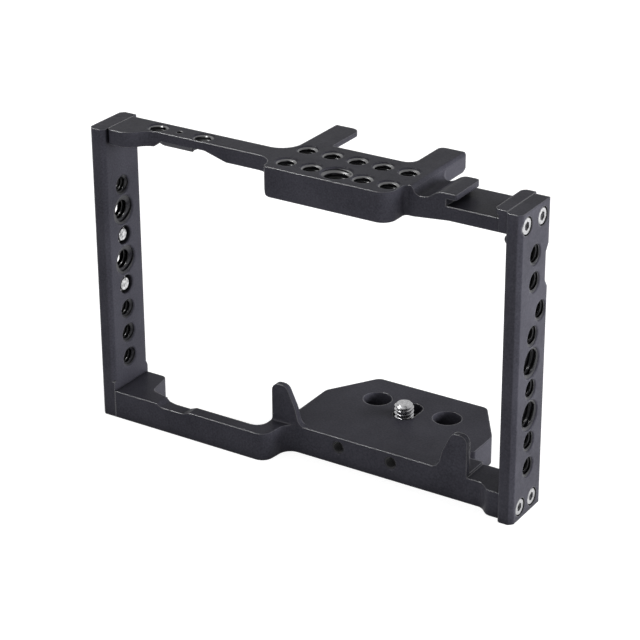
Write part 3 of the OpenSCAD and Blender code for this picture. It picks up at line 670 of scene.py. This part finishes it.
# %% [markdown]
# The photo is a shop picture on pure white. A floor under the cage keeps a soft contact shadow:
# for the camera it glows a little and also takes light, so that it reaches white except where
# the cage stands in the way. Reflections see the same white floor. Other rays see a plain pale
# floor. The floor is small, since the lamps can't keep a large one white, and beyond it lies a
# white world. Only rays that light the cage see that world dimmer, or the black metal would
# turn grey.

# %% Floor and world
FLOOR_SIZE = 1.4
FLOOR_GLOW = 0.84
FLOOR_TAKES = 0.5
PALE = 0.82
FLOOR_GAP = 0.01 * MM
SKY = 0.3
WHITE = (1, 1, 1, 1)


def seen_straight(tree):
    """1 for camera, glossy and transmission rays, 0 for all others."""
    path = add_node(tree, "ShaderNodeLightPath")
    first = add_node(tree, "ShaderNodeMath", operation="ADD")
    tree.links.new(path.outputs["Is Camera Ray"], first.inputs[0])
    tree.links.new(path.outputs["Is Glossy Ray"], first.inputs[1])
    second = add_node(tree, "ShaderNodeMath", operation="ADD", use_clamp=True)
    tree.links.new(first.outputs["Value"], second.inputs[0])
    tree.links.new(path.outputs["Is Transmission Ray"], second.inputs[1])
    return second.outputs["Value"]


def choose(tree, hidden, seen, output):
    """Shows one shader to the rays that see straight and another to those that light the cage."""
    chooser = add_node(tree, "ShaderNodeMixShader")
    tree.links.new(seen_straight(tree), chooser.inputs[0])
    tree.links.new(hidden, chooser.inputs[1])
    tree.links.new(seen, chooser.inputs[2])
    tree.links.new(chooser.outputs["Shader"], output.inputs["Surface"])


def grey(level):
    """A colour socket's value for a linear grey."""
    return (level, level, level, 1)


floor_material, tree, output = new_material("white_floor")
glow = add_node(tree, "ShaderNodeEmission", {"Color": WHITE, "Strength": FLOOR_GLOW})
takes = add_node(tree, "ShaderNodeBsdfDiffuse", {"Color": grey(FLOOR_TAKES)})
both = add_node(tree, "ShaderNodeAddShader")
tree.links.new(glow.outputs["Emission"], both.inputs[0])
tree.links.new(takes.outputs["BSDF"], both.inputs[1])
plain = add_node(tree, "ShaderNodeBsdfDiffuse", {"Color": grey(PALE)})
choose(tree, plain.outputs["BSDF"], both.outputs["Shader"], output)

floor_mesh = bmesh.new()
bmesh.ops.create_grid(floor_mesh, x_segments=1, y_segments=1, size=FLOOR_SIZE / 2)
floor_data = bpy.data.meshes.new("floor")
floor_mesh.to_mesh(floor_data)
floor_mesh.free()
floor = bpy.data.objects.new("floor", floor_data)
floor.location.z = -FLOOR_GAP
floor.data.materials.append(floor_material)
bpy.context.collection.objects.link(floor)

world = bpy.data.worlds.new("white_room")
bpy.context.scene.world = world
world.use_nodes = True
tree = world.node_tree
tree.nodes.clear()
white = add_node(tree, "ShaderNodeBackground", {"Color": WHITE, "Strength": 1.0})
room = add_node(tree, "ShaderNodeBackground", {"Color": WHITE, "Strength": SKY})
world_output = add_node(tree, "ShaderNodeOutputWorld")
choose(tree, room.outputs["Background"], white.outputs["Background"], world_output)
print("floor", FLOOR_SIZE, "m wide, room light", SKY)

# %% [markdown]
# Soft boxes shape the black metal. Each is given by its place, its size, the brightness of its
# face and its work, so a box can be made larger without changing how bright it looks in a
# reflection. All of them look at the middle of the cage. The key box stands to the right and a
# little behind, which is why the cage's right outer face is its lightest. Weaker boxes on the
# left and in front fill the rest. These three only light the dye. The fourth stands high on the
# left and is seen only in reflections, where it draws the bright lines along the edges. The
# plain view transform keeps white at white.

# %% Soft boxes
CAGE_MIDDLE = Vector((0, 0, 50))
SOFT_BOXES = {
    "key_side": ((740, 240, 170), (700, 300), 21.0, "light"),
    "left_side": ((-760, 60, 200), (500, 300), 5.0, "light"),
    "front_fill": ((-60, -760, 200), (600, 500), 3.0, "light"),
    "edge_light": ((-450, -200, 770), (240, 440), 30.0, "reflection"),
}


def soft_box(name, place, size, brightness, work):
    """A rectangular lamp facing the cage. brightness is the radiance of its face, and work says
    whether it lights the surfaces or is seen in their reflections."""
    lamp = bpy.data.lights.new(name, "AREA")
    lamp.shape = "RECTANGLE"
    lamp.size = size[0] * MM
    lamp.size_y = size[1] * MM
    lamp.energy = brightness * math.pi * lamp.size * lamp.size_y
    box = bpy.data.objects.new(name, lamp)
    box.location = Vector(place) * MM
    facing = (CAGE_MIDDLE - Vector(place)).to_track_quat("-Z", "Y")
    box.rotation_euler = facing.to_euler()
    box.visible_camera = False
    box.visible_glossy = work == "reflection"
    box.visible_diffuse = work == "light"
    bpy.context.collection.objects.link(box)
    return box


for name, settings in SOFT_BOXES.items():
    box = soft_box(name, *settings)
    print(name, "gives", round(box.data.energy, 2), "W")

bpy.context.scene.view_settings.view_transform = "Standard"

# %% [markdown]
# Last, the imported model's size is printed again. The finish must not make the cage
# larger, because parts that mount on it rely on its real size.

# %% Print the packed size
print("packed size in mm:", [round(side / MM, 2) for side in cad_high - cad_low])
